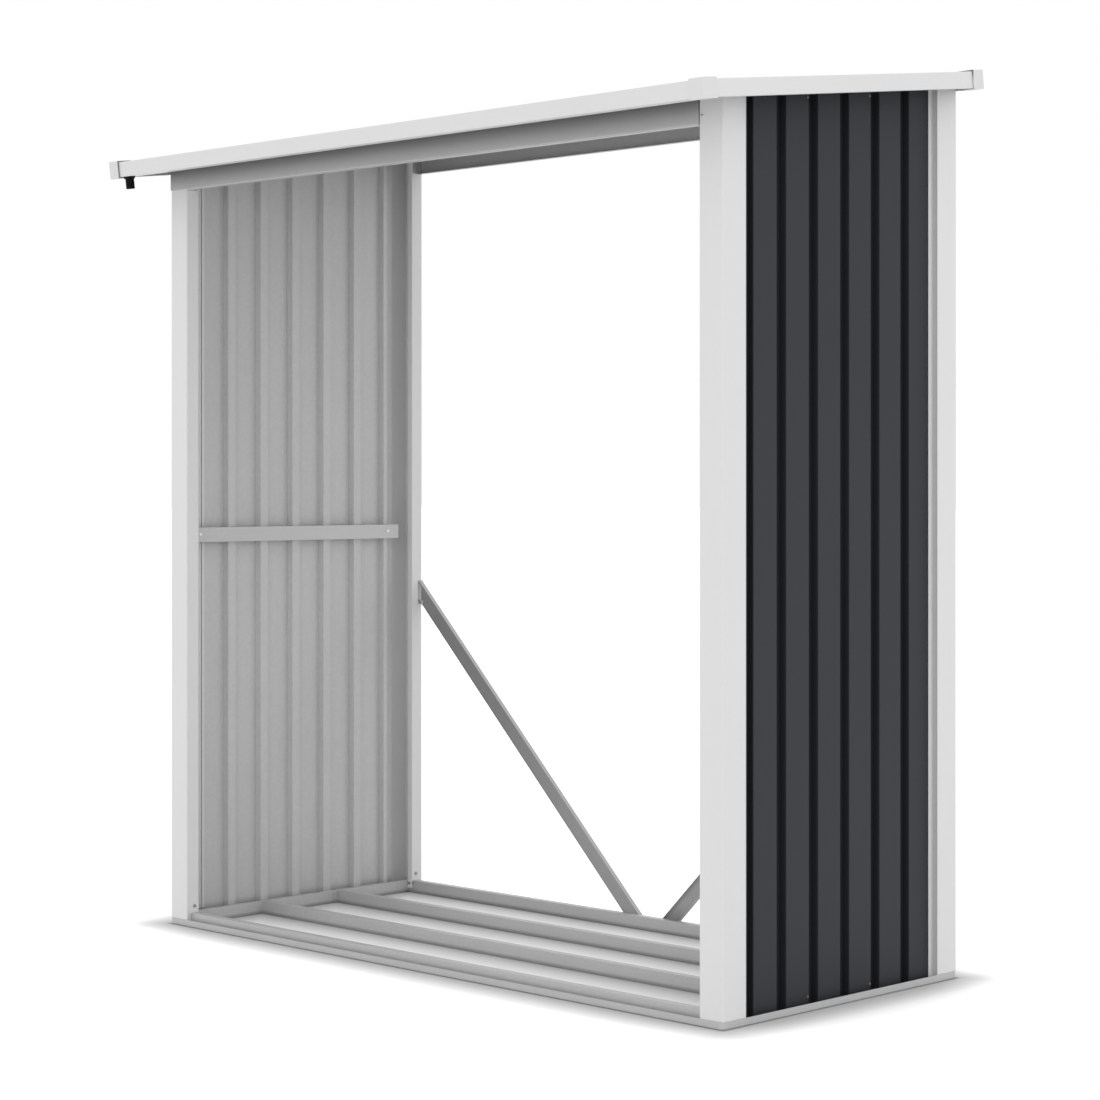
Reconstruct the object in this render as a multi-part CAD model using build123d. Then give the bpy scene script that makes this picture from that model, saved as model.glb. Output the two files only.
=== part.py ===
from build123d import *
import math
import os

# Log store of folded sheet steel: open front and back, two corrugated side walls, mono-pitch roof.
# X runs along the store, Y from the front to the back, Z up from the ground, in millimetres.
# The origin is on the ground under the middle of the whole outline.

# Overall sizes
BODY_LENGTH = 1396.0
BODY_DEPTH = 606.0
OVERALL_HEIGHT = 1540.0
ROOF_PITCH = 7.2
FRONT_OVERHANG = 105.0
SIDE_OVERHANG = 52.0

# Running clearance between pieces that are screwed together
FIT = 0.3

# Base frame: a low outer lip, a channel that posts and walls stand in, and a raised inner rail
BASE_SHEET = 1.0
LIP_HEIGHT = 12.0
LIP_CORNER_RADIUS = 10.0
LIP_FOLD_RADIUS = 1.5
RAIL_HEIGHT = 24.0
END_CHANNEL = 11.5
BASE_RAIL_WIDTH = 15.0
SIDE_RAIL_WIDTH = 10.5
JOIST_WIDTH = 15.0
JOIST_PITCH = 192.5
JOIST_COUNT = 2

# Corner posts
POST_SHEET = 1.0
POST_FACE = 49.0
POST_SIDE = 54.5
POST_RETURN = 28.0
POST_FLANGE = 12.5
POST_JOG = 12.0
POST_LIP = 8.0
POST_EDGE_RADIUS = 2.5
POST_FOOT_CUT = 9.0

# Corrugated side walls
WALL_SHEET = 0.8
WALL_DEPTH = 12.0
WALL_INSET = 53.0
WALL_END_FLAT = 23.1
GROOVE_COUNT = 6
GROOVE_MOUTH = 24.0
GROOVE_FLOOR = 17.0
GROOVE_SHIFT = 25.65
LAST_GROOVE_CUT = 8.5

# Channel rail that the wall rails and the diagonal braces are cut from
CHANNEL_SHEET = 1.0
CHANNEL_WIDTH = 28.0
CHANNEL_DEPTH = 9.8
WALL_RAIL_END_GAP = 39.0
WALL_RAIL_SHIFT = 14.6
WALL_RAIL_HEIGHT = 743.5
TOP_RAIL_WIDTH = 18.0
TOP_RAIL_INSET = 33.0

# Braces
BRACE_ANGLE = 45.0
BRACE_FOOT_X = 50.6
BRACE_TAB_WIDTH = 10.0
BRACE_TAB_HEIGHT = 47.0
BRACE_TAB_DROP = 2.0
BRACE_TAB_HEM = 4.0
BRACE_NOTCH = 12.0

# Headers
HEADER_SHEET = 1.0
FRONT_HEADER_HEIGHT = 50.5
REAR_HEADER_HEIGHT = 44.4
HEADER_LAP_RISE = 2.5
HEADER_FLANGE = 12.0
HEADER_BEND_RADIUS = 3.0
HEADER_TAB = 25.0
TAB_CORNER_RADIUS = 4.0

# Roof: heights are measured down from the plane of the trim's top, square to the slope
ROOF_SHEET = 0.8
ROOF_PROFILE = 10.0
ROOF_END_FLAT = 64.45
ROOF_RIB_COUNT = 6
ROOF_RIB_TOP = 17.0
ROOF_RIB_FOOT = 27.0
ROOF_LAP = 12.0
SHEET_DROP = 2.4
MIDDLE_SHEET_LIFT = 1.0
SHEET_EAVES = 14.0
TRIM_SHEET = 1.0
TRIM_HEIGHT = 28.3
TRIM_FLANGE = 22.0
TRIM_HEM = 8.0
REAR_TRIM_HEM = 3.0
GUTTER_HEM = 10.0
TRIM_EDGE_RADIUS = 1.0
GUTTER_WIDTH = 42.0
GUTTER_BACK = 14.0
CAP_LEG = 28.0
CAP_WALL = 1.6
CAP_GAP = 0.9
CAP_TOP_RISE = 2.6
CAP_FOOT_DROP = 1.7
CAP_CORNER_RADIUS = 4.0
TRIM_SETBACK = 24.0

# Rain outlet under the gutter
SPOUT_END_INSET = 40.5
SPOUT_INSET = 12.0
SPOUT_RADIUS = 8.2
SPOUT_WALL = 1.5
SPOUT_LENGTH = 23.5
SPOUT_COLLAR_RADIUS = 10.8
SPOUT_COLLAR = 5.0
SPOUT_COLLAR_TAPER = 2.0
SPOUT_NUT = 2.5

# Derived places in the body's own frame, whose origin is under the middle of the posts
HALF_X = BODY_LENGTH / 2
HALF_Y = BODY_DEPTH / 2
LIP_X = HALF_X + FIT + BASE_SHEET
LIP_Y = HALF_Y + FIT + BASE_SHEET
RETURN_X = HALF_X - POST_FACE
WALL_OUTER_X = HALF_X - POST_JOG - POST_SHEET - FIT
WALL_INNER_X = WALL_OUTER_X - WALL_DEPTH
WALL_WIDTH = BODY_DEPTH - 2 * WALL_INSET
GROOVE_PITCH = (WALL_WIDTH - 2 * WALL_END_FLAT - 2 * GROOVE_SHIFT) / (GROOVE_COUNT - 1)
WALL_RAIL_LENGTH = BODY_DEPTH - 2 * WALL_RAIL_END_GAP
TOP_RAIL_LENGTH = BODY_DEPTH - 2 * TOP_RAIL_INSET
SIDE_RAIL_OUTER_X = WALL_INNER_X - FIT
SIDE_RAIL_INNER_X = SIDE_RAIL_OUTER_X - SIDE_RAIL_WIDTH
END_RAIL_OUTER_Y = LIP_Y - END_CHANNEL
END_RAIL_INNER_Y = END_RAIL_OUTER_Y - BASE_RAIL_WIDTH

# Roof frame: u runs up the slope from the front edge of the trim, n is square to the roof
SLOPE = math.radians(ROOF_PITCH)
ROOF_RUN = BODY_DEPTH + FRONT_OVERHANG
ROOF_LENGTH_U = ROOF_RUN / math.cos(SLOPE)
ROOF_HALF_X = HALF_X + SIDE_OVERHANG
ROOF_FRONT_Y = -HALF_Y - FRONT_OVERHANG
ROOF_FRONT_Z = OVERALL_HEIGHT - ROOF_RUN * math.tan(SLOPE)
SHEET_UNDERSIDE = -SHEET_DROP - ROOF_PROFILE
SHEET_COUNT = 3
SHEET_EDGE_X = ROOF_HALF_X - TRIM_SHEET - FIT
ROOF_RIB_PITCH = 2 * (SHEET_EDGE_X - ROOF_END_FLAT) / (SHEET_COUNT * ROOF_RIB_COUNT - 1)
ROOF_PLACE = Pos(0, ROOF_FRONT_Y, ROOF_FRONT_Z) * Rot(ROOF_PITCH, 0, 0)

SPOUT_X = SPOUT_END_INSET - ROOF_HALF_X

# Shift that brings the middle of the whole outline over the origin
FRONT_REACH = ROOF_FRONT_Y - (CAP_WALL + CAP_GAP) * math.cos(SLOPE) - CAP_TOP_RISE * math.sin(SLOPE)
REAR_REACH = (
    ROOF_FRONT_Y
    + (ROOF_LENGTH_U + CAP_WALL + CAP_GAP) * math.cos(SLOPE)
    + (TRIM_HEIGHT + CAP_FOOT_DROP) * math.sin(SLOPE)
)
BODY_PLACE = Pos(0, -(FRONT_REACH + REAR_REACH) / 2, 0)

MIRROR_X = Plane.YZ
MIRROR_Y = Plane.XZ


def roof_height(y, n):
    """Height of the plane that lies n off the trim's top plane, above depth y of the body frame."""
    return ROOF_FRONT_Z + (y - ROOF_FRONT_Y) * math.tan(SLOPE) + n / math.cos(SLOPE)


def folded(path, thickness):
    """Section of a sheet bent along path, with its thickness on the right of the path."""
    normals = []
    for (x0, y0), (x1, y1) in zip(path, path[1:]):
        length = math.hypot(x1 - x0, y1 - y0)
        normals.append(((y1 - y0) / length, (x0 - x1) / length))
    inner = []
    for index, (x, y) in enumerate(path):
        ax, ay = normals[max(index - 1, 0)]
        bx, by = normals[min(index, len(normals) - 1)]
        scale = thickness / (1 + ax * bx + ay * by)
        inner.append((x + (ax + bx) * scale, y + (ay + by) * scale))
    return make_face(Polyline(*path, *reversed(inner), close=True))


def rounded(face, corners, radius):
    """Round the section's vertices that lie on the given points."""
    picked = []
    for x, y in corners:
        picked.append(face.vertices().sort_by_distance((x, y, 0))[0])
    return fillet(picked, radius)


def prism(face, length):
    """Section drawn in XY and swept length along +Z."""
    return extrude(face, amount=length, dir=(0, 0, 1))


def along_x(face, x_from, x_to):
    """Section drawn with its own X as Y and its own Y as Z, swept from x_from to x_to."""
    return Pos(x_from, 0, 0) * Rot(0, 0, 90) * Rot(90, 0, 0) * prism(face, x_to - x_from)


def along_y(face, y_from, y_to):
    """Section drawn with its own X as X and its own Y as Z, swept from y_from to y_to."""
    return Pos(0, y_to, 0) * Rot(90, 0, 0) * prism(face, y_to - y_from)


def block(x_range, y_range, z_range):
    """Box between two values on each axis."""
    low = [min(r) for r in (x_range, y_range, z_range)]
    size = [abs(r[1] - r[0]) for r in (x_range, y_range, z_range)]
    return Pos(*low) * Box(*size, align=(Align.MIN, Align.MIN, Align.MIN))


def below_roof(shape, n):
    """Cut the shape off along the plane n off the trim's top plane."""
    reach = 2 * ROOF_RUN
    waste = block((-reach, reach), (-reach, reach), (n, n + reach))
    return shape - ROOF_PLACE * waste


# Base frame
def base_tray():
    """Flat of the base channel with its upright lip, folded up along a rounded edge."""
    outer = RectangleRounded(2 * LIP_X, 2 * LIP_Y, LIP_CORNER_RADIUS)
    inner = RectangleRounded(
        2 * (LIP_X - BASE_SHEET), 2 * (LIP_Y - BASE_SHEET), LIP_CORNER_RADIUS - BASE_SHEET
    )
    tray = prism(outer, LIP_HEIGHT)
    tray = fillet(tray.edges().group_by(Axis.Z)[0], LIP_FOLD_RADIUS)
    return tray - Pos(0, 0, BASE_SHEET) * prism(inner, LIP_HEIGHT)


def raised_rail(width):
    """Raised rail: a hat of sheet, open below, with its left foot at zero."""
    path = [(0, 0), (0, RAIL_HEIGHT), (width, RAIL_HEIGHT), (width, 0)]
    return folded(path, BASE_SHEET)


def base_rail_rear():
    """Rear rail of the base, which carries the rounded lip corners."""
    strip = block((-LIP_X, LIP_X), (END_RAIL_OUTER_Y, LIP_Y), (0, LIP_HEIGHT))
    half = SIDE_RAIL_OUTER_X - FIT
    hat = Pos(0, END_RAIL_INNER_Y, 0) * along_x(raised_rail(BASE_RAIL_WIDTH), -half, half)
    return base_tray() & strip, hat


def base_rail_side():
    """Right rail of the base, between the end rails."""
    reach = END_RAIL_OUTER_Y - FIT
    strip = block((SIDE_RAIL_OUTER_X, LIP_X), (-reach, reach), (0, LIP_HEIGHT))
    hat_reach = END_RAIL_INNER_Y - FIT
    hat = Pos(SIDE_RAIL_INNER_X, 0, 0) * along_y(raised_rail(SIDE_RAIL_WIDTH), -hat_reach, hat_reach)
    return base_tray() & strip, hat


def fused(pieces):
    """One solid out of pieces that touch or overlap."""
    whole = pieces[0]
    for piece in pieces[1:]:
        whole = whole + piece
    return whole


def floor_joist(index):
    """Joist that runs from one side rail to the other, index steps in front of the rear rail."""
    front = END_RAIL_INNER_Y - index * JOIST_PITCH
    reach = SIDE_RAIL_INNER_X - FIT
    return Pos(0, front, 0) * along_x(raised_rail(JOIST_WIDTH), -reach, reach)


# Corner posts
def post_section():
    """Front right post in plan: flange, return, face, side, jog and wall lip, corner at zero."""
    path = [
        (POST_FACE - POST_FLANGE, POST_RETURN),
        (POST_FACE, POST_RETURN),
        (POST_FACE, 0),
        (0, 0),
        (0, POST_SIDE),
        (POST_JOG, POST_SIDE),
        (POST_JOG, POST_SIDE + POST_LIP),
    ]
    section = folded(path, POST_SHEET)
    section = rounded(section, [(0, 0), (POST_FACE, 0)], POST_EDGE_RADIUS)
    inner = [(POST_SHEET, POST_SHEET), (POST_FACE - POST_SHEET, POST_SHEET)]
    return rounded(section, inner, POST_EDGE_RADIUS - POST_SHEET)


def post_front_left():
    """Front left post, notched round the base rail and cut to the slope of the roof."""
    post = Pos(-HALF_X, -HALF_Y, BASE_SHEET) * prism(post_section(), OVERALL_HEIGHT)
    notch = block(
        (-RETURN_X - 2 * POST_SHEET, -RETURN_X + POST_SHEET),
        (-END_RAIL_OUTER_Y - FIT, -END_RAIL_INNER_Y + FIT),
        (0, RAIL_HEIGHT + FIT),
    )
    foot = block(
        (-RETURN_X - POST_FLANGE - POST_SHEET, -RETURN_X + POST_SHEET),
        (-END_RAIL_INNER_Y, -HALF_Y + POST_RETURN + POST_SHEET),
        (0, POST_FOOT_CUT),
    )
    margin = BASE_SHEET + FIT
    room = RectangleRounded(
        2 * (LIP_X - margin), 2 * (LIP_Y - margin), LIP_CORNER_RADIUS - margin
    )
    corner = block((-LIP_X, -LIP_X + LIP_CORNER_RADIUS), (-LIP_Y, -LIP_Y + LIP_CORNER_RADIUS), (0, 1))
    corner = prism(corner.faces().sort_by(Axis.Z)[0] - room, LIP_HEIGHT + FIT)
    return post - notch - foot - corner


# Side walls
def wall_section(shift):
    """Left wall in plan: broad flats outside, grooves pressed in towards +X, the last one narrower."""
    floor = WALL_DEPTH - WALL_SHEET
    path = [(0, -WALL_WIDTH / 2)]
    for index in range(GROOVE_COUNT):
        middle = (index - (GROOVE_COUNT - 1) / 2) * GROOVE_PITCH + shift
        cut = LAST_GROOVE_CUT if index == GROOVE_COUNT - 1 else 0.0
        path.append((0, middle - GROOVE_MOUTH / 2))
        path.append((floor, middle - GROOVE_FLOOR / 2))
        path.append((floor, middle + GROOVE_FLOOR / 2 - cut))
        path.append((0, middle + GROOVE_MOUTH / 2 - cut))
    path.append((0, WALL_WIDTH / 2))
    return folded(path, WALL_SHEET)


def wall_panel(turn):
    """Wall panel in the base channel behind the post lips; a half turn makes it the right one."""
    panel = Pos(-WALL_OUTER_X, 0, BASE_SHEET) * prism(wall_section(GROOVE_SHIFT), OVERALL_HEIGHT)
    return below_roof(Rot(0, 0, turn) * panel, SHEET_UNDERSIDE - FIT)


def channel_section(width):
    """Channel rail: web of the given width at x = depth, flanges back to x = 0."""
    path = [(0, width / 2), (CHANNEL_DEPTH, width / 2), (CHANNEL_DEPTH, -width / 2), (0, -width / 2)]
    return folded(path, CHANNEL_SHEET)


def wall_rail_left():
    """Level rail half-way up the left wall, screwed to the inner faces of its ribs."""
    rail = along_y(channel_section(CHANNEL_WIDTH), -WALL_RAIL_LENGTH / 2, WALL_RAIL_LENGTH / 2)
    return Pos(-WALL_INNER_X + FIT, -WALL_RAIL_SHIFT, WALL_RAIL_HEIGHT) * rail


def wall_top_rail_left():
    """Sloping rail along the top of the left wall, which the roof sheets rest on."""
    rail = along_y(channel_section(TOP_RAIL_WIDTH), -TOP_RAIL_LENGTH / 2, TOP_RAIL_LENGTH / 2)
    middle = SHEET_UNDERSIDE - FIT - TOP_RAIL_WIDTH / 2
    height = roof_height(0, middle)
    return Pos(-WALL_INNER_X + FIT, 0, height) * Rot(ROOF_PITCH, 0, 0) * rail


def end_tab(x_range, y_range, z_range):
    """Tab at the end of a bar, with its lower corner rounded at the second y value."""
    tab = block(x_range, y_range, z_range)
    corner = (x_range[0], y_range[1], min(z_range))
    edge = tab.edges().filter_by(Axis.X).sort_by_distance(corner)[0]
    return fillet(edge, TAB_CORNER_RADIUS)


# Headers
def header_section(bottom, top):
    """Header in side view: web at zero, flanges back towards +Y, with a rounded lower bend."""
    path = [(HEADER_FLANGE, bottom), (0, bottom), (0, top), (HEADER_FLANGE, top)]
    section = folded(path, HEADER_SHEET)
    section = rounded(section, [(0, bottom)], HEADER_BEND_RADIUS)
    corner = (HEADER_SHEET, bottom + HEADER_SHEET)
    return rounded(section, [corner], HEADER_BEND_RADIUS - HEADER_SHEET)


def header_front():
    """Front header: its left end laps over the post's face, its right end stops at the post."""
    reach = RETURN_X - FIT
    face = -HALF_Y - FIT - HEADER_SHEET
    web = (face, face + HEADER_SHEET)
    top = roof_height(face, SHEET_UNDERSIDE - FIT)
    bottom = top - FRONT_HEADER_HEIGHT
    pieces = [
        Pos(0, face, 0) * along_x(header_section(bottom, top), -reach, reach),
        block((-HALF_X, -reach + HEADER_SHEET), web, (bottom + HEADER_LAP_RISE, top)),
    ]
    for side in (-1, 1):
        tab_x = (side * reach, side * (reach - HEADER_SHEET))
        tab_y = (web[1], face + HEADER_TAB)
        pieces.append(end_tab(tab_x, tab_y, (bottom, top)))
    return fused(pieces)


def header_rear():
    """Rear header between the returns of the rear posts, with end tabs that lie on them."""
    reach = RETURN_X - FIT
    face = HALF_Y - POST_SHEET - FIT
    top = roof_height(face - HEADER_TAB, SHEET_UNDERSIDE - FIT)
    bottom = top - REAR_HEADER_HEIGHT
    section = mirror(header_section(bottom, top), about=MIRROR_X)
    pieces = [Pos(0, face, 0) * along_x(section, -reach, reach)]
    for side in (-1, 1):
        tab_x = (side * reach, side * (reach - HEADER_SHEET))
        tab_y = (face - HEADER_SHEET, face - HEADER_TAB)
        pieces.append(end_tab(tab_x, tab_y, (bottom, top)))
    return fused(pieces)


# Braces
def brace_left():
    """Diagonal from the left rear post down to the rear base rail, open to the back."""
    angle = math.radians(BRACE_ANGLE)
    run = RETURN_X - FIT - BRACE_FOOT_X
    half = run / math.cos(angle)
    face = END_RAIL_OUTER_Y + FIT
    back = face + CHANNEL_DEPTH
    section = Rot(0, 0, -90) * channel_section(CHANNEL_WIDTH)
    bar = Pos(0, 0, -half / 2) * prism(section, 2 * half)
    web = Box(CHANNEL_WIDTH - 2 * CHANNEL_SHEET, 2 * CHANNEL_SHEET, 4 * half)
    web = Pos(0, -CHANNEL_DEPTH, 0) * web
    slope = Pos(-BRACE_FOOT_X, back, RAIL_HEIGHT) * Rot(0, BRACE_ANGLE - 90, 0)
    end = -RETURN_X + FIT
    notch = block((end + CHANNEL_SHEET, end + BRACE_NOTCH), (face, back), (0, OVERALL_HEIGHT))
    keep = block((end, 0), (face, back), (BASE_SHEET + FIT, OVERALL_HEIGHT))
    bar = (slope * bar & keep) - (slope * web & notch)
    top = RAIL_HEIGHT + run * math.tan(angle) + CHANNEL_WIDTH / 2 / math.cos(angle) - BRACE_TAB_DROP
    tab_z = (top - BRACE_TAB_HEIGHT, top)
    tab = block((end, end + CHANNEL_SHEET), (back - BRACE_TAB_WIDTH, back), tab_z)
    hem = block((end, end + BRACE_TAB_HEM), (back - CHANNEL_SHEET, back), tab_z)
    return fused([bar, tab, hem])


# Roof
def roof_sheet_section(half_width, lift):
    """Roof sheet in front view: narrow ribs that stand up from broad pans."""
    pan = SHEET_UNDERSIDE + ROOF_SHEET + lift
    top = -SHEET_DROP + lift
    path = [(-half_width[0], pan)]
    for index in range(ROOF_RIB_COUNT):
        middle = (index - (ROOF_RIB_COUNT - 1) / 2) * ROOF_RIB_PITCH
        path.append((middle - ROOF_RIB_FOOT / 2, pan))
        path.append((middle - ROOF_RIB_TOP / 2, top))
        path.append((middle + ROOF_RIB_TOP / 2, top))
        path.append((middle + ROOF_RIB_FOOT / 2, pan))
    path.append((half_width[1], pan))
    return folded(path, ROOF_SHEET)


def roof_sheet(side):
    """Roof sheet number side from the middle; the middle one laps over its neighbours."""
    cover = ROOF_RIB_COUNT * ROOF_RIB_PITCH
    outer = SHEET_EDGE_X - cover
    inner = cover / 2
    reach = {
        -1: (outer, inner),
        0: (cover / 2 + ROOF_LAP, cover / 2 + ROOF_LAP),
        1: (inner, outer),
    }[side]
    lift = MIDDLE_SHEET_LIFT if side == 0 else 0.0
    sheet = along_y(
        roof_sheet_section(reach, lift), SHEET_EAVES, ROOF_LENGTH_U - TRIM_SHEET - FIT
    )
    return ROOF_PLACE * Pos(side * cover, 0, 0) * sheet


def trim_section(hem):
    """Roof trim: upright face at zero, top flange and lower hem turned in towards +x."""
    path = [(hem, -TRIM_HEIGHT), (0, -TRIM_HEIGHT), (0, 0), (TRIM_FLANGE, 0)]
    section = folded(path, TRIM_SHEET)
    return rounded(section, [(0, -TRIM_HEIGHT), (0, 0)], TRIM_EDGE_RADIUS)


def gutter_section():
    """Front trim, whose lower edge runs on as the floor and back wall of a gutter."""
    path = [
        (GUTTER_WIDTH, GUTTER_BACK - TRIM_HEIGHT),
        (GUTTER_WIDTH, -TRIM_HEIGHT),
        (0, -TRIM_HEIGHT),
        (0, 0),
        (GUTTER_HEM, 0),
    ]
    section = folded(path, TRIM_SHEET)
    return rounded(section, [(0, -TRIM_HEIGHT), (0, 0)], TRIM_EDGE_RADIUS)


def roof_gutter():
    """Gutter along the front of the roof, with the hole for the rain outlet."""
    reach = ROOF_HALF_X - TRIM_SETBACK
    gutter = along_x(gutter_section(), -reach, reach)
    drill = Pos(SPOUT_X, SPOUT_INSET, -TRIM_HEIGHT) * Cylinder(SPOUT_RADIUS + FIT, 4 * TRIM_SHEET)
    return ROOF_PLACE * (gutter - drill)


def roof_trim_rear():
    """Trim along the rear edge of the roof."""
    reach = ROOF_HALF_X - TRIM_SETBACK
    section = mirror(trim_section(REAR_TRIM_HEM), about=MIRROR_X)
    return ROOF_PLACE * Pos(0, ROOF_LENGTH_U, 0) * along_x(section, -reach, reach)


def roof_trim_left():
    """Trim along the left edge of the roof, between the corner caps."""
    trim = along_y(trim_section(TRIM_HEM), TRIM_SETBACK, ROOF_LENGTH_U - TRIM_SETBACK)
    return ROOF_PLACE * Pos(-ROOF_HALF_X, 0, 0) * trim


def corner_cap():
    """Moulded cap over the front left corner of the trims, open to the back and to the right."""
    wall = CAP_WALL + CAP_GAP
    height = TRIM_HEIGHT + CAP_TOP_RISE + CAP_FOOT_DROP
    shell = block((-wall, CAP_LEG), (-wall, CAP_LEG), (0, height))
    corner = shell.edges().filter_by(Axis.Z).sort_by_distance((-wall, -wall, height / 2))[0]
    shell = fillet(corner, CAP_CORNER_RADIUS)
    rim = shell.edges().group_by(Axis.Z)[-1].sort_by_distance((-wall, -wall, height))[:3]
    shell = fillet(rim, CAP_WALL / 2)
    hollow = block(
        (-CAP_GAP, 2 * CAP_LEG),
        (-CAP_GAP, 2 * CAP_LEG),
        (CAP_FOOT_DROP - FIT, height - CAP_TOP_RISE + FIT),
    )
    return Pos(0, 0, -TRIM_HEIGHT - CAP_FOOT_DROP) * (shell - hollow)


def roof_cap(front, left):
    """Corner cap in its place on the roof, mirrored for the other corners."""
    cap = Pos(-ROOF_HALF_X, 0, 0) * corner_cap()
    if not front:
        cap = Pos(0, ROOF_LENGTH_U, 0) * mirror(cap, about=MIRROR_Y)
    if not left:
        cap = mirror(cap, about=MIRROR_X)
    return ROOF_PLACE * cap


def gutter_spout():
    """Rain outlet: collar under the gutter, tube through it and nut above its floor."""
    tube_top = TRIM_SHEET + SPOUT_NUT
    spout = Cylinder(
        SPOUT_RADIUS, SPOUT_LENGTH + tube_top, align=(Align.CENTER, Align.CENTER, Align.MAX)
    )
    spout = Pos(0, 0, tube_top) * spout
    collar = Cylinder(
        SPOUT_COLLAR_RADIUS, SPOUT_COLLAR, align=(Align.CENTER, Align.CENTER, Align.MAX)
    )
    rim = collar.edges().filter_by(GeomType.CIRCLE).sort_by(Axis.Z)[0]
    collar = chamfer(rim, SPOUT_COLLAR_TAPER)
    nut = Pos(0, 0, TRIM_SHEET) * Cylinder(
        SPOUT_COLLAR_RADIUS, SPOUT_NUT, align=(Align.CENTER, Align.CENTER, Align.MIN)
    )
    bore = Cylinder(SPOUT_RADIUS - SPOUT_WALL, 4 * SPOUT_LENGTH)
    return ROOF_PLACE * Pos(SPOUT_X, SPOUT_INSET, -TRIM_HEIGHT) * (spout + collar + nut - bore)


def all_pieces():
    """Every piece of the store in the body frame, by the name of its node."""
    rear_rail = fused(base_rail_rear())
    side_rail = fused(base_rail_side())
    front_post = below_roof(post_front_left(), SHEET_UNDERSIDE - FIT)
    rear_post = below_roof(mirror(post_front_left(), about=MIRROR_Y), SHEET_UNDERSIDE - FIT)
    wall_rail = wall_rail_left()
    top_rail = wall_top_rail_left()
    brace = brace_left()
    pieces = {
        "base_rail_front": mirror(rear_rail, about=MIRROR_Y),
        "base_rail_rear": rear_rail,
        "base_rail_left": mirror(side_rail, about=MIRROR_X),
        "base_rail_right": side_rail,
        "post_front_left": front_post,
        "post_front_right": mirror(front_post, about=MIRROR_X),
        "post_rear_left": rear_post,
        "post_rear_right": mirror(rear_post, about=MIRROR_X),
        "wall_panel_left": wall_panel(0),
        "wall_panel_right": wall_panel(180),
        "wall_rail_left": wall_rail,
        "wall_rail_right": Rot(0, 0, 180) * wall_rail,
        "wall_top_rail_left": top_rail,
        "wall_top_rail_right": mirror(top_rail, about=MIRROR_X),
        "header_front": header_front(),
        "header_rear": header_rear(),
        "brace_left": brace,
        "brace_right": mirror(brace, about=MIRROR_X),
        "roof_sheet_left": roof_sheet(-1),
        "roof_sheet_middle": roof_sheet(0),
        "roof_sheet_right": roof_sheet(1),
        "roof_gutter": roof_gutter(),
        "roof_trim_rear": roof_trim_rear(),
        "roof_trim_left": roof_trim_left(),
        "roof_trim_right": mirror(roof_trim_left(), about=MIRROR_X),
        "gutter_spout": gutter_spout(),
    }
    for index, name in zip(range(JOIST_COUNT, 0, -1), ("front", "rear")):
        pieces[f"floor_joist_{name}"] = floor_joist(index)
    for front, end in ((True, "front"), (False, "rear")):
        for left, side in ((True, "left"), (False, "right")):
            pieces[f"roof_cap_{end}_{side}"] = roof_cap(front, left)
    return pieces


if __name__ == "__main__":
    os.makedirs("parts", exist_ok=True)
    for node, shape in all_pieces().items():
        export_step(BODY_PLACE * shape, f"parts/{node}.step")
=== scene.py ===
"""Looks of the log store: camera, studio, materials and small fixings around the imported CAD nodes.

Metres, in the row's frame: X along the store, Y from the front to the back, Z up.
Places and sizes of screws and hems are in millimetres, in the body's own frame.
"""
import math

import bmesh
import bpy
from mathutils import Matrix, Vector


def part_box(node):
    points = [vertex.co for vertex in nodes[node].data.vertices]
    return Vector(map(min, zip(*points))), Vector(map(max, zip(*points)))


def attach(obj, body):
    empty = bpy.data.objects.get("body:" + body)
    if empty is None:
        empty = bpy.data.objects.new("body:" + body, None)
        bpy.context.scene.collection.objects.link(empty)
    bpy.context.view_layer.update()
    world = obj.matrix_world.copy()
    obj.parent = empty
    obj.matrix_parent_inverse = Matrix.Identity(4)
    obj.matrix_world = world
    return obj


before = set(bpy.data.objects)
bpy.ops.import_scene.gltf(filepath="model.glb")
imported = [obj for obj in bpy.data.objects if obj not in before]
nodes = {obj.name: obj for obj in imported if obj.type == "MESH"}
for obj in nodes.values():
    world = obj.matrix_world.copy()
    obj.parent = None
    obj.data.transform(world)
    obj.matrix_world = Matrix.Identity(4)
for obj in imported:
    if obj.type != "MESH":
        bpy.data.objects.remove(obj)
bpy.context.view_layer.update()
scene = bpy.context.scene

MM = 0.001
X, Y, Z = range(3)

rail_low, rail_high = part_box("base_rail_left")
header_low, header_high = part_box("header_front")
# Depth of the body's middle, the upright axis about which the walls repeat
MIDDLE = (rail_low[Y] + rail_high[Y]) / 2
BODY_MIDDLE = MIDDLE / MM


# Colours, written as 8-bit display values
def srgb(value):
    """Linear value of a display value."""
    v = value / 255
    return v / 12.92 if v <= 0.04045 else ((v + 0.055) / 1.055) ** 2.4


def colour(red, green, blue):
    """Linear colour of display values."""
    return (srgb(red), srgb(green), srgb(blue), 1.0)


def grey(value):
    """Linear grey of one display value."""
    return colour(value, value, value)


WHITE = (1, 1, 1, 1)
SILVER = grey(218)
CAP_GREY = grey(216)
SPOUT_BLACK = colour(5, 5, 6)
ANTHRACITE = colour(49, 51, 55)
ZINC_INSIDE = grey(190)
BASE_TONE = grey(190)
RAIL_TONE = grey(185)
HEADER_TONE = grey(172)
FRONT_HEADER_TONE = grey(179)
BRACE_TONE = grey(178)
# Hem tone above the bare sheet's: a painted highlight on the real doubled edge
HEM_HIGHLIGHT_TONE = grey(200)
SCREW_TONE = grey(160)
DULL_SCREW_TONE = colour(96, 97, 100)
# Near-white tone of the wall rail screws: a painted highlight
SCREW_HIGHLIGHT_TONE = grey(240)
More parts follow.
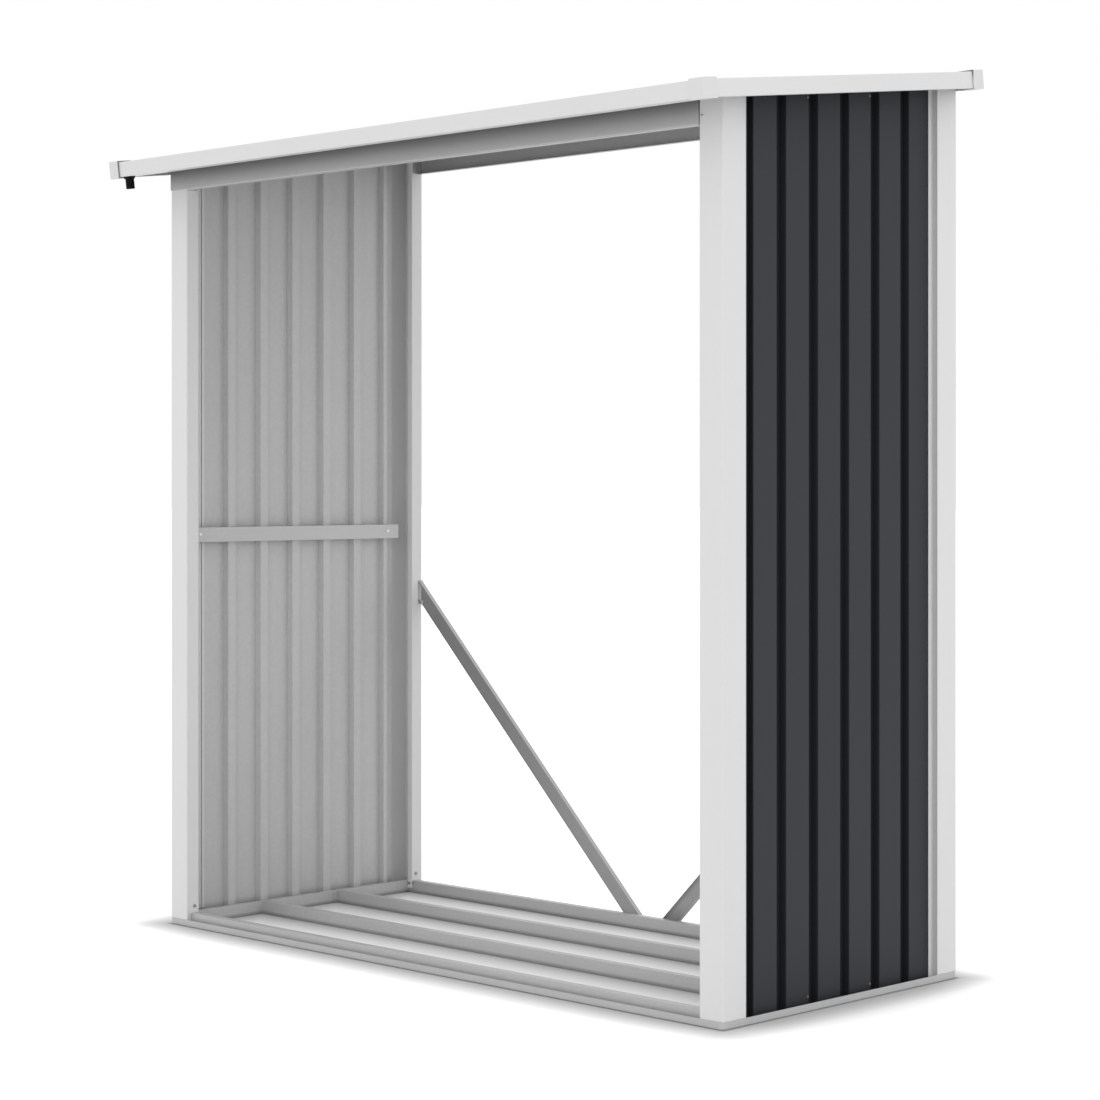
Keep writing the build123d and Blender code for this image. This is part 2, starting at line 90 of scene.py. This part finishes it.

# Painted shades over a distance in metres: from, to, and the factors on the tone at both
GROOVE_SHADE = (0.6822, 0.6842, 0.45, 1.0)
FOOT_SHADE = (0.022, 0.036, 0.8, 1.0)
FLOOR_SHADE = (0.001, 0.008, 0.6, 1.0)
SEAM_SHADE = (0.0005, 0.0025, 0.28, 1.0)
BRACE_SHADE = (0.1, 0.45, 0.88, 0.68)
HEADER_SHADE = (header_low[Z], header_high[Z], 1.0, 0.30)
# Heights between which a brace's web comes out of its painted shade at the foot
BRACE_FOOT = (0.02, 0.06)

# Painted shade on the step between a post's face and its lip by the wall: farther out than
# STEP_FACE, and within STEP_REACH of the middle
STEP_FACE = 0.6863
STEP_REACH = 0.2495
STEP_SHADE_TONE = 0.77
# Inner side of the base, where painted shade falls near the floor: within these distances of the
# middle
INNER_X = 0.690
INNER_Y = 0.295
# Share of the normal that parts upright faces from level ones, and a brace's web from its flange
UPRIGHT_NORMAL = 0.5
WEB_NORMAL = 0.7

# Rolling lines per metre along X, Y and Z: few of them along the grain
GRAIN_X = (20.0, 900.0, 900.0)
GRAIN_Z = (900.0, 900.0, 20.0)
GRAIN_BRACE = (200.0, 900.0, 200.0)
NO_GRAIN = (900.0, 900.0, 900.0)

# Roughness of paint and plastic, and how far it wanders below and above
PAINT_ROUGHNESS = 0.42
PLASTIC_ROUGHNESS = 0.5
ROUGHNESS_SPREAD = (-0.03, 0.04)
# Specular level of the coats, and metallic share of the zinc pieces
COAT_GLOSS = 0.25
SPOUT_GLOSS = 0.1
SHEET_GLOSS = 0.15
SHEET_METAL = 0.35
SCREW_METAL = 0.6
DULL_SCREW_METAL = 0.2
BRIGHT_SCREW_METAL = 0.9

# Clouds: noise scale per metre, its detail, and the two values it runs between
COAT_CLOUD = (3.0, 3.0, 0.99, 1.005)
SHEET_CLOUD = (3.0, 3.0, 0.98, 1.02)
ZINC_CLOUD = (5.0, 3.0, 0.985, 1.01)
ROLLING_LINES = (1.0, 2.0, 0.99, 1.01)
ROUGHNESS_NOISE = (40.0, 2.0)
PEEL_NOISE = (900.0, 1.0)
# Range of a noise that is spread between a cloud's two values
CLOUD_BAND = (0.3, 0.7)
# Strength and height in metres of the relief of paint, bare zinc and two-sided sheet
PEEL_RELIEF = (0.04, 0.0004)
LINE_RELIEF = (0.05, 0.0003)
SHEET_RELIEF = (0.04, 0.0003)
# Spangles per metre, and the tones and the roughness that they spread over
SPANGLES = 160.0
SPANGLE_TONES = (0.98, 1.015)
SPANGLE_ROUGHNESS = (0.46, 0.54)
# Bare and painted side of a two-sided sheet
SIDE_ROUGHNESS = (0.5, 0.46)
SIDE_METAL = (0.2, 0.0)

# Sockets of a colour mix: factor, the two colours and the result
MIX_FACTOR, MIX_A, MIX_B, MIX_RESULT = 0, 6, 7, 2


class Tree:
    """A node tree with short calls for the nodes used here."""

    def __init__(self, tree):
        self.nodes = tree.nodes
        self.links = tree.links

    def new(self, kind):
        return self.nodes.new(f"ShaderNode{kind}")

    def feed(self, socket, value):
        """Link an output to a socket, or set a plain value on it."""
        if hasattr(value, "links"):
            self.links.new(value, socket)
        else:
            socket.default_value = value

    def math(self, operation, a, b=0.0):
        node = self.new("Math")
        node.operation = operation
        self.feed(node.inputs[0], a)
        self.feed(node.inputs[1], b)
        return node.outputs[0]

    def product(self, first, *others):
        for other in others:
            first = self.math("MULTIPLY", first, other)
        return first

    def ramp(self, value, low, high, to_low, to_high, kind="SMOOTHSTEP"):
        """Value taken from one range to another, and held at its ends."""
        node = self.new("MapRange")
        node.interpolation_type = kind
        for socket, number in zip(node.inputs, (value, low, high, to_low, to_high)):
            self.feed(socket, number)
        return node.outputs[0]

    def seen_directly(self):
        """1 for camera, glossy and transmission rays, else 0."""
        path = self.new("LightPath")
        total = path.outputs["Is Camera Ray"]
        for name in ("Is Glossy Ray", "Is Transmission Ray"):
            total = self.math("MAXIMUM", total, path.outputs[name])
        return total


class Finish(Tree):
    """A new material with one Principled shader."""

    def __init__(self, name):
        self.material = bpy.data.materials.new(name)
        self.material.use_nodes = True
        super().__init__(self.material.node_tree)
        self.nodes.clear()
        self.bsdf = self.new("BsdfPrincipled")
        self.surface = self.new("OutputMaterial").inputs[0]
        self.feed(self.surface, self.bsdf.outputs[0])
        self.geometry = self.new("NewGeometry").outputs
        self.position = self.geometry["Position"]

    def split(self, vector):
        node = self.new("SeparateXYZ")
        self.feed(node.inputs[0], vector)
        return node.outputs

    def at(self, axis):
        """Place along an axis."""
        return self.split(self.position)[axis]

    def off(self, axis, plane=0.0):
        """Distance from a plane across an axis."""
        return self.math("ABSOLUTE", self.math("SUBTRACT", self.at(axis), plane))

    def facing(self, axis):
        """Share of the normal along an axis."""
        return self.split(self.geometry["Normal"])[axis]

    def stretched(self, scale):
        """Position with its axes scaled."""
        node = self.new("VectorMath")
        node.operation = "MULTIPLY"
        self.feed(node.inputs[0], self.position)
        self.feed(node.inputs[1], scale)
        return node.outputs[0]

    def noise(self, scale, detail, vector=None):
        node = self.new("TexNoise")
        self.feed(node.inputs["Scale"], scale)
        self.feed(node.inputs["Detail"], detail)
        self.feed(node.inputs["Vector"], vector or self.position)
        return node.outputs["Fac"]

    def cloud(self, scale, detail, low, high, vector=None):
        """Soft change between two values."""
        return self.ramp(self.noise(scale, detail, vector), *CLOUD_BAND, low, high)

    def cells(self, scale):
        """One random value for each cell."""
        node = self.new("TexVoronoi")
        self.feed(node.inputs["Scale"], scale)
        self.feed(node.inputs["Vector"], self.position)
        return self.split(node.outputs["Color"])[0]

    def mix(self, factor, a, b, kind="MIX"):
        node = self.new("Mix")
        node.data_type = "RGBA"
        node.blend_type = kind
        self.feed(node.inputs[MIX_FACTOR], factor)
        self.feed(node.inputs[MIX_A], a)
        self.feed(node.inputs[MIX_B], b)
        return node.outputs[MIX_RESULT]

    def shade(self, tone, value):
        """Tone multiplied by a grey value."""
        node = self.new("CombineColor")
        for channel in range(3):
            self.feed(node.inputs[channel], value)
        return self.mix(1.0, tone, node.outputs[0], "MULTIPLY")

    def bump(self, height, strength, distance):
        node = self.new("Bump")
        self.feed(node.inputs["Strength"], strength)
        self.feed(node.inputs["Distance"], distance)
        self.feed(node.inputs["Height"], height)
        self.feed(self.bsdf.inputs["Normal"], node.outputs[0])

    def set(self, **values):
        for name, value in values.items():
            self.feed(self.bsdf.inputs[name.replace("_", " ")], value)


# Materials: the shade function given to a material below gives the factor of painted shade on its
# tone, where a contact shade falls
def paint(name, tone, roughness, gloss=COAT_GLOSS, painted_shade=None):
    """Satin coat: a faint orange peel, slow changes of tone and gloss, and painted shade where a
    shade function is given.
    """
    t = Finish(name)
    value = t.cloud(*COAT_CLOUD)
    if painted_shade:
        value = t.product(value, painted_shade(t))
    t.set(Base_Color=t.shade(tone, value), Metallic=0.0, Specular_IOR_Level=gloss)
    ends = [roughness + step for step in ROUGHNESS_SPREAD]
    t.set(Roughness=t.cloud(*ROUGHNESS_NOISE, *ends))
    t.bump(t.noise(*PEEL_NOISE), *PEEL_RELIEF)
    return t.material


def joint_shade(axis, plane):
    """Painted shade in the joint along a plane across an axis."""
    return lambda t: t.ramp(t.off(axis, plane), *SEAM_SHADE)


def post_step_shade(t):
    """Painted shade on the step between a post's face and its lip by the wall."""
    outside = t.math("GREATER_THAN", t.off(X), STEP_FACE)
    inside = t.math("LESS_THAN", t.off(Y, MIDDLE), STEP_REACH)
    return t.ramp(t.product(outside, inside), 0.0, 1.0, 1.0, STEP_SHADE_TONE)


def zinc_parts(t, tone, grain):
    """Colour and bump height of galvanised sheet, with its spangle and rolling lines."""
    spangle = t.ramp(t.cells(SPANGLES), 0.0, 1.0, *SPANGLE_TONES)
    lines = t.cloud(*ROLLING_LINES, t.stretched(grain))
    return t.shade(tone, t.product(spangle, t.cloud(*ZINC_CLOUD), lines)), lines


def zinc(name, tone, grain=GRAIN_X, metallic=SHEET_METAL, painted_shade=None):
    """Bare galvanised sheet, with painted shade where a shade function is given."""
    t = Finish(name)
    base, lines = zinc_parts(t, tone, grain)
    if painted_shade:
        base = t.shade(base, painted_shade(t))
    rough = t.ramp(t.cells(SPANGLES), 0.0, 1.0, *SPANGLE_ROUGHNESS)
    t.set(Base_Color=base, Roughness=rough, Metallic=metallic)
    t.bump(lines, *LINE_RELIEF)
    return t.material


def base_floor_shade(t):
    """Upright inner faces of the base, with painted shade close to the floor."""
    upright = t.math("LESS_THAN", t.math("ABSOLUTE", t.facing(Z)), UPRIGHT_NORMAL)
    inner_x = t.math("LESS_THAN", t.off(X), INNER_X)
    inner_y = t.math("LESS_THAN", t.off(Y, MIDDLE), INNER_Y)
    foot = t.math("SUBTRACT", 1.0, t.ramp(t.at(Z), *FLOOR_SHADE))
    return t.math("SUBTRACT", 1.0, t.product(upright, inner_x, inner_y, foot))


def header_top_shade(t):
    """Painted shade on the header, growing towards its top under the roof's overhang."""
    return t.ramp(t.at(Z), *HEADER_SHADE)


def brace_web_shade(slope, edge, reach, dark, foot):
    """Painted shade on a brace's web: darker than its flange, higher up, along an edge and at its
    foot.
    """

    def painted_shade(t):
        web = t.math("GREATER_THAN", t.math("ABSOLUTE", t.facing(Y)), WEB_NORMAL)
        across = t.math("ADD", t.at(X), t.product(t.at(Z), slope))
        shade = t.product(
            t.ramp(t.at(Z), *BRACE_SHADE),
            t.ramp(across, edge, edge + reach, dark, 1.0),
            t.ramp(t.at(Z), *BRACE_FOOT, foot, 1.0),
        )
        return t.ramp(web, 0.0, 1.0, 1.0, shade, "LINEAR")

    return painted_shade


def two_sided(name, axis, sign, groove=None, foot=None):
    """Sheet painted on the side that faces sign along the axis, and bare zinc on the other.

    The coated side gets painted shade in its grooves, and the bare side painted shade at its foot,
    where these are given.
    """
    t = Finish(name)
    base, lines = zinc_parts(t, ZINC_INSIDE, GRAIN_Z)
    painted = t.shade(ANTHRACITE, t.cloud(*SHEET_CLOUD))
    if groove:
        painted = t.shade(painted, t.ramp(t.off(axis), *groove))
    if foot:
        base = t.shade(base, t.ramp(t.at(Z), *foot))
    mask = t.math("GREATER_THAN", t.product(t.facing(axis), sign), 0.0)
    t.set(Base_Color=t.mix(mask, base, painted), Specular_IOR_Level=SHEET_GLOSS)
    t.set(Roughness=t.ramp(mask, 0.0, 1.0, *SIDE_ROUGHNESS))
    t.set(Metallic=t.ramp(mask, 0.0, 1.0, *SIDE_METAL))
    t.bump(lines, *SHEET_RELIEF)
    return t.material


silver_paint = paint("silver_paint", SILVER, PAINT_ROUGHNESS)
post_silver = paint("post_silver", SILVER, PAINT_ROUGHNESS, painted_shade=post_step_shade)
cap_plastic = paint("cap_plastic", CAP_GREY, PLASTIC_ROUGHNESS)
front_left_joint_shade = joint_shade(X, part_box("roof_cap_front_left")[1][X])
cap_front_left = paint("cap_front_left", CAP_GREY, PLASTIC_ROUGHNESS, painted_shade=front_left_joint_shade)
rear_right_joint_shade = joint_shade(Y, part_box("roof_cap_rear_right")[0][Y])
cap_rear_right = paint("cap_rear_right", CAP_GREY, PLASTIC_ROUGHNESS, painted_shade=rear_right_joint_shade)
black_plastic = paint("black_plastic", SPOUT_BLACK, PLASTIC_ROUGHNESS, SPOUT_GLOSS)
base_zinc = zinc("base_zinc", BASE_TONE, painted_shade=base_floor_shade)
header_zinc = zinc("header_zinc", HEADER_TONE)
front_header_zinc = zinc("front_header_zinc", FRONT_HEADER_TONE, painted_shade=header_top_shade)
rail_zinc = zinc("rail_zinc", RAIL_TONE)
left_web_shade = brace_web_shade(slope=1.0, edge=-0.0464, reach=0.007, dark=0.75, foot=1.0)
brace_left_zinc = zinc("brace_left_zinc", BRACE_TONE, GRAIN_BRACE, painted_shade=left_web_shade)
right_web_shade = brace_web_shade(slope=-1.0, edge=0.008, reach=0.016, dark=0.6, foot=0.6)
brace_right_zinc = zinc("brace_right_zinc", BRACE_TONE, GRAIN_BRACE, painted_shade=right_web_shade)
wall_right = two_sided("wall_right_paint", X, 1.0, GROOVE_SHADE, FOOT_SHADE)
wall_left = two_sided("wall_left_paint", X, -1.0, GROOVE_SHADE, FOOT_SHADE)
roof_paint = two_sided("roof_paint", Z, 1.0)
screw_zinc = zinc("screw_zinc", SCREW_TONE, NO_GRAIN, SCREW_METAL)
dull_zinc = zinc("dull_zinc", DULL_SCREW_TONE, NO_GRAIN, DULL_SCREW_METAL)
screw_highlight_zinc = zinc("screw_highlight_zinc", SCREW_HIGHLIGHT_TONE, NO_GRAIN, BRIGHT_SCREW_METAL)
hem_highlight_zinc = zinc("hem_highlight_zinc", HEM_HIGHLIGHT_TONE, GRAIN_Z)

# Material by the start of a node's name: a later entry that fits takes the place of an earlier one
MATERIALS = {
    "base_rail": base_zinc,
    "floor_joist": base_zinc,
    "post": post_silver,
    "wall_panel_left": wall_left,
    "wall_panel_right": wall_right,
    "wall_rail": rail_zinc,
    "wall_top_rail": rail_zinc,
    "header_front": front_header_zinc,
    "header_rear": header_zinc,
    "brace_left": brace_left_zinc,
    "brace_right": brace_right_zinc,
    "roof_sheet": roof_paint,
    "roof_gutter": silver_paint,
    "roof_trim": silver_paint,
    "roof_cap": cap_plastic,
    "roof_cap_front_left": cap_front_left,
    "roof_cap_rear_right": cap_rear_right,
    "gutter_spout": black_plastic,
}

for name, node in nodes.items():
    for prefix, material in MATERIALS.items():
        if name.startswith(prefix):
            node.data.materials.clear()
            node.data.materials.append(material)


def add_object(name, data):
    """New object in the scene."""
    holder = bpy.data.objects.new(name, data)
    scene.collection.objects.link(holder)
    return holder


def add_mesh(name, mesh, finish):
    """New object of a finished bmesh in one material."""
    data = bpy.data.meshes.new(name)
    mesh.to_mesh(data)
    mesh.free()
    data.materials.append(finish)
    return add_object(name, data)


# Screws: pan heads with a cross recess, their radius and height in millimetres
FRAME_HEAD = (3.3, 2.2)
WALL_HEAD = (2.6, 1.6)
HEADER_HEAD = (2.0, 1.0)
# Profile of a head from its foot to its crown, as shares of the radius and the height
HEAD_PROFILE = ((1.0, 0.0), (1.0, 0.35), (0.9, 0.7), (0.65, 0.92), (0.35, 1.0))
HEAD_STEPS = 24
# Recess: its depth as a share of the height, and its width between two arms as a share of the crown
RECESS_DEPTH = 0.5
RECESS_WAIST = 0.45


def pan_head(name, place, normal, finish, size):
    """Domed screw head on a face, its slots sunk into the crown."""
    radius, height = (value * MM for value in size)
    mesh = bmesh.new()
    turns = [2 * math.pi * index / HEAD_STEPS for index in range(HEAD_STEPS)]
    rings = []
    for share, rise in HEAD_PROFILE:
        reach = share * radius
        spots = [(reach * math.cos(turn), reach * math.sin(turn), rise * height) for turn in turns]
        rings.append([mesh.verts.new(spot) for spot in spots])
    recess = []
    for index, vertex in enumerate(rings[-1]):
        arm = 1.0 if index % (HEAD_STEPS // 4) == 0 else RECESS_WAIST
        spot = (vertex.co.x * arm, vertex.co.y * arm, RECESS_DEPTH * height)
        recess.append(mesh.verts.new(spot))
    rings.append(recess)
    for low, high in zip(rings, rings[1:]):
        for index in range(HEAD_STEPS):
            after = (index + 1) % HEAD_STEPS
            mesh.faces.new((low[index], low[after], high[after], high[index]))
    mesh.faces.new(recess)
    turn = Vector((0, 0, 1)).rotation_difference(Vector(normal)).to_matrix().to_4x4()
    mesh.transform(Matrix.Translation(Vector(place) * MM) @ turn)
    head = add_mesh(name, mesh, finish)
    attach(head, "root")


# Place of each screw and the way its head faces. The left half's are mirrored to the right
LEFT_SCREWS = {
    "front_return": ((-649.0, -284.7, 36.9), (1, 0, 0)),
    "rear_return": ((-649.0, 285.2, 37.9), (1, 0, 0)),
    "rear_flange": ((-657.0, 275.0, 18.0), (0, -1, 0)),
    "rear_web": ((-648.9, 277.0, 18.8), (0, -1, 0)),
    "brace_top": ((-647.7, 296.0, 596.0), (1, 0, 0)),
}
# The right wall's go to the left wall by half a turn about the upright axis
WALL_SCREWS = {
    "foot_front": ((684.7, -81.3, 19.0), (1, 0, 0)),
    "foot_rear": ((684.7, 79.9, 18.0), (1, 0, 0)),
    "top_front": ((684.7, -81.3, 1463.0), (1, 0, 0)),
    "top_rear": ((684.7, 79.9, 1482.0), (1, 0, 0)),
}
RAIL_SCREWS = {
    "rail_front": ((662.6, -219.7, 744.5), (-1, 0, 0)),
    "rail_rear": ((662.6, 261.2, 744.5), (-1, 0, 0)),
}
HEADER_SCREW = (655.1, -303.0 + BODY_MIDDLE, 1414.9)

for name, ((x, y, z), (nx, ny, nz)) in LEFT_SCREWS.items():
    for side, mark in ((1, "left"), (-1, "right")):
        place = (side * x, y + BODY_MIDDLE, z)
        pan_head(f"screw_{name}_{mark}", place, (side * nx, ny, nz), screw_zinc, FRAME_HEAD)
for screws, finish, size in (
    (WALL_SCREWS, dull_zinc, WALL_HEAD),
    (RAIL_SCREWS, screw_highlight_zinc, FRAME_HEAD),
):
    for name, ((x, y, z), (nx, ny, nz)) in screws.items():
        for turn, mark in ((1, "right"), (-1, "left")):
            place = (turn * x, turn * y + BODY_MIDDLE, z)
            pan_head(f"screw_{name}_{mark}", place, (turn * nx, ny, nz), finish, size)
pan_head("screw_header_front_right", HEADER_SCREW, (0, -1, 0), screw_zinc, HEADER_HEAD)

# Hems: the doubled front edge of each wall sheet, in two folds on its inner face, from the base up
# to the roof. The left wall's go to the right wall by half a turn. Given are the left hem's outer
# and inner face across X, its folds in depth, the height of its foot, and its drop below the sheet
HEM_FACES = (-684.3, -681.2)
HEM_FOLDS = ((-249.6, -244.6), (-242.6, -236.2))
HEM_FOOT = 24.5
HEM_DROP = 1.5
# Faces of a block whose corners run over X, then Y, then Z
BLOCK_FACES = (
    (0, 1, 3, 2), (4, 6, 7, 5), (0, 4, 5, 1), (2, 3, 7, 6), (0, 2, 6, 4), (1, 5, 7, 3),
)
panel_low, panel_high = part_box("wall_panel_left")
front_edge = [v.co for v in nodes["wall_panel_left"].data.vertices if v.co.y < panel_low[Y] + MM]
front_top = max(co.z for co in front_edge)


def sheet_top(y):
    """Height of the sheet's upper edge at a depth, on the line between its two ends."""
    share = (y - panel_low[Y]) / (panel_high[Y] - panel_low[Y])
    return front_top + share * (panel_high[Z] - front_top)


for turn, mark in ((1, "left"), (-1, "right")):
    hem_mesh = bmesh.new()
    for fold in HEM_FOLDS:
        corners = []
        for x in HEM_FACES:
            for y in fold:
                depth = turn * y + BODY_MIDDLE
                for z in (HEM_FOOT * MM, sheet_top(depth * MM) - HEM_DROP * MM):
                    corners.append(hem_mesh.verts.new((turn * x * MM, depth * MM, z)))
        for face in BLOCK_FACES:
            hem_mesh.faces.new([corners[index] for index in face])
    bmesh.ops.recalc_face_normals(hem_mesh, faces=hem_mesh.faces)
    hem = add_mesh(f"wall_hem_{mark}", hem_mesh, hem_highlight_zinc)
    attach(hem, "root")

# Studio: a white floor and surround, with a faint overhead light and a faint lamp in front
WORLD_LIGHT = 1.15
# Floor: tone to the eye, tone for the light it throws back, half width, and drop under the part
FLOOR_TONE = 0.9
FLOOR_BOUNCE = 0.7
FLOOR_SIDE = 60.0
FLOOR_DROP = 0.0003
# Contact shade by distance from the base: a wide soft one and a thin dark line
CONTACT_REACH = 0.08
CONTACT_TONE = 0.57
CONTACT_LINE = 0.008
CONTACT_DARK = 0.6
# Distance from the base beyond which none of it matters
CONTACT_FAR = 1.0
# Glow of the floor to the eye: the distances outside the base where it begins and is full
OPEN_START = 0.01
OPEN_REACH = 0.13
OPEN_GLOW = 0.3

scene.view_settings.view_transform = "Standard"

world = bpy.data.worlds.new("studio")
scene.world = world
world.use_nodes = True
sky = Tree(world.node_tree)
background = sky.nodes["Background"].inputs
sky.feed(background["Color"], WHITE)
sky_light = sky.ramp(sky.seen_directly(), 0.0, 1.0, WORLD_LIGHT, 1.0, "LINEAR")
sky.feed(background["Strength"], sky_light)


def gap_to(t, low, high):
    """Distance on the floor from a point to a rectangle, 0 inside it."""
    squares = []
    for axis in (X, Y):
        offset = t.off(axis, (low[axis] + high[axis]) / 2)
        gap = t.math("SUBTRACT", offset, (high[axis] - low[axis]) / 2)
        squares.append(t.math("POWER", t.math("MAXIMUM", gap, 0.0), 2.0))
    return t.math("SQRT", t.math("ADD", *squares))


def contact_shade(t, names):
    """Factor that darkens the floor by the named pieces, and its glow outside them all."""
    boxes = [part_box(name) for name in names]
    nearest = CONTACT_FAR
    for low, high in boxes:
        nearest = t.math("MINIMUM", gap_to(t, low, high), nearest)
    soft = t.ramp(nearest, 0.0, CONTACT_REACH, CONTACT_TONE, 1.0, "LINEAR")
    line = t.ramp(nearest, 0.0, CONTACT_LINE, CONTACT_DARK, 1.0)
    outer_low = [min(low[axis] for low, high in boxes) for axis in (X, Y)]
    outer_high = [max(high[axis] for low, high in boxes) for axis in (X, Y)]
    outside = gap_to(t, outer_low, outer_high)
    glow = t.ramp(outside, OPEN_START, OPEN_REACH, 0.0, OPEN_GLOW)
    return t.product(soft, line), glow


def floor_finish():
    """White floor that keeps the part's shadow, throws back some light and is clear from below."""
    t = Finish("floor_paint")
    t.nodes.remove(t.bsdf)
    seen = t.seen_directly()
    feet = [name for name in nodes if name.startswith(("base_rail", "floor_joist"))]
    shade, glow = contact_shade(t, feet)
    diffuse = t.new("BsdfDiffuse")
    bounce = (FLOOR_BOUNCE, FLOOR_BOUNCE, FLOOR_BOUNCE, 1.0)
    visible = t.shade(WHITE, t.product(shade, FLOOR_TONE))
    t.feed(diffuse.inputs["Color"], t.mix(seen, bounce, visible))
    light = t.new("Emission")
    t.feed(light.inputs["Strength"], t.product(seen, glow))
    both = t.new("AddShader")
    t.feed(both.inputs[0], diffuse.outputs[0])
    t.feed(both.inputs[1], light.outputs[0])
    one_sided = t.new("MixShader")
    t.feed(one_sided.inputs[0], t.geometry["Backfacing"])
    t.feed(one_sided.inputs[1], both.outputs[0])
    t.feed(one_sided.inputs[2], t.new("BsdfTransparent").outputs[0])
    t.feed(t.surface, one_sided.outputs[0])
    return t.material


floor_mesh = bmesh.new()
floor_mesh.faces.new(
    [
        floor_mesh.verts.new((FLOOR_SIDE * x, FLOOR_SIDE * y, 0))
        for x, y in ((-1, -1), (1, -1), (1, 1), (-1, 1))
    ]
)
floor = add_mesh("floor", floor_mesh, floor_finish())
floor.location.z = -FLOOR_DROP

# Lamps: a soft one far off in front to the right, and a wide overhead sun
FRONT_PLACE = Vector((9.3, -9.3, 1.4))
FRONT_TARGET = Vector((0.0, 0.0, 0.75))
FRONT_SIZE = 3.0
FRONT_POWER = 70.0
OVERHEAD_POWER = 0.3
OVERHEAD_ANGLE = 0.25

front_data = bpy.data.lights.new("front_lamp", "AREA")
front_data.shape = "SQUARE"
front_data.size = FRONT_SIZE
front_data.energy = FRONT_POWER
front_lamp = add_object("front_lamp", front_data)
front_lamp.location = FRONT_PLACE
front_lamp.rotation_euler = (FRONT_TARGET - FRONT_PLACE).to_track_quat("-Z", "Y").to_euler()
front_lamp.visible_camera = False

overhead_data = bpy.data.lights.new("overhead", "SUN")
overhead_data.energy = OVERHEAD_POWER
overhead_data.angle = OVERHEAD_ANGLE
add_object("overhead", overhead_data)

# Camera at the photograph's viewing point, fitted in pixels of its 1100 x 1100 frame
LENS_PIXELS = 2621.67
FRAME_PIXELS = 1100.0
HORIZON_ROW = 480.68
SENSOR_WIDTH = 36.0
CAMERA_PLACE = (3.3503, -3.3104, 0.8473)
CAMERA_TILT = 90.0
CAMERA_TURN = 44.71
CLIP_NEAR = 0.05
CLIP_FAR = 300.0

camera_data = bpy.data.cameras.new("camera")
camera_data.sensor_width = SENSOR_WIDTH
camera_data.lens = LENS_PIXELS / FRAME_PIXELS * SENSOR_WIDTH
camera_data.shift_y = (HORIZON_ROW - FRAME_PIXELS / 2) / FRAME_PIXELS
camera_data.clip_start = CLIP_NEAR
camera_data.clip_end = CLIP_FAR
camera_data.dof.use_dof = False
camera = add_object("camera", camera_data)
camera.location = CAMERA_PLACE
camera.rotation_euler = (math.radians(CAMERA_TILT), 0.0, math.radians(CAMERA_TURN))
scene.camera = camera
